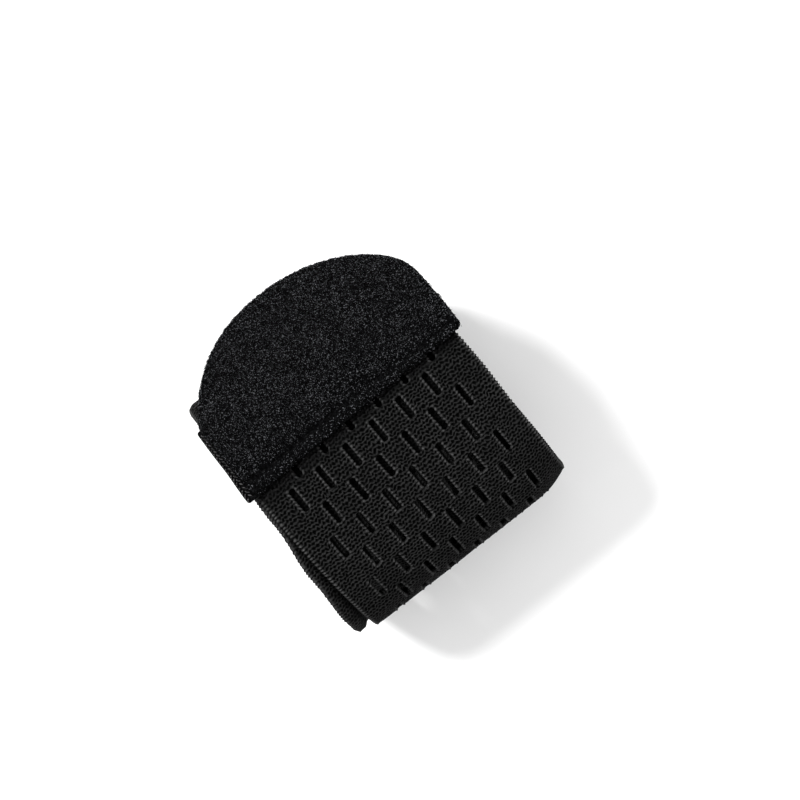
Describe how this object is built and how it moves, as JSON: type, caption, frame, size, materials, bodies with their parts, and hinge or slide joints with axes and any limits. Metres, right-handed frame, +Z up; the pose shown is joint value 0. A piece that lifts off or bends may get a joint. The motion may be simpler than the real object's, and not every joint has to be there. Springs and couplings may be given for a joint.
{
  "type": "wrist guard",
  "caption": "Perforated elastic wrist wrap, wound nearly twice round an oval wrist opening and closed on top by a D-shaped hook-and-loop tab.",
  "frame": {"origin": "on the surface that the guard lies on, under the middle of its box", "axes": "+X along the forearm towards the hand, +Z up through the closure tab on the back of the wrist, +Y towards the tab's rounded free end"},
  "size_m": [0.064, 0.0798, 0.0477],
  "materials": {
    "elastic_knit": "black elastic knit",
    "loop_pile": "black brushed loop pile",
    "foam": "thin black foam",
    "hook_tape": "woven tape with small moulded hooks",
    "thread": "black polyester thread"
  },
  "bodies": {
    "cuff": {"band_inner_turn": "elastic_knit", "band_outer_turn": "elastic_knit", "inner_end_overlock": "thread"},
    "flap_lower": {"band_front_lower": "elastic_knit"},
    "flap_upper": {"band_front_upper": "elastic_knit"},
    "tab": {"band_sewn_end": "elastic_knit", "hook_tape": "hook_tape", "tab_core": "foam", "tab_face": "loop_pile", "tab_seam_stitches": "thread"}
  },
  "joints": [
    {"name": "strap_unwrap", "type": "hinge", "parent": "cuff", "child": "flap_lower", "pos_m": [-0.0005, -0.03991, 0.0223], "axis": [1, 0, 0], "range_deg": [0, 80]},
    {"name": "strap_straighten", "type": "hinge", "parent": "flap_lower", "child": "flap_upper", "pos_m": [-0.0005, -0.02517, 0.04122], "axis": [1, 0, 0], "range_deg": [0, 40]},
    {"name": "tab_peel", "type": "hinge", "parent": "flap_upper", "child": "tab", "pos_m": [-0.0005, -0.00072, 0.04581], "axis": [1, 0, 0], "range_deg": [0, 120]}
  ]
}
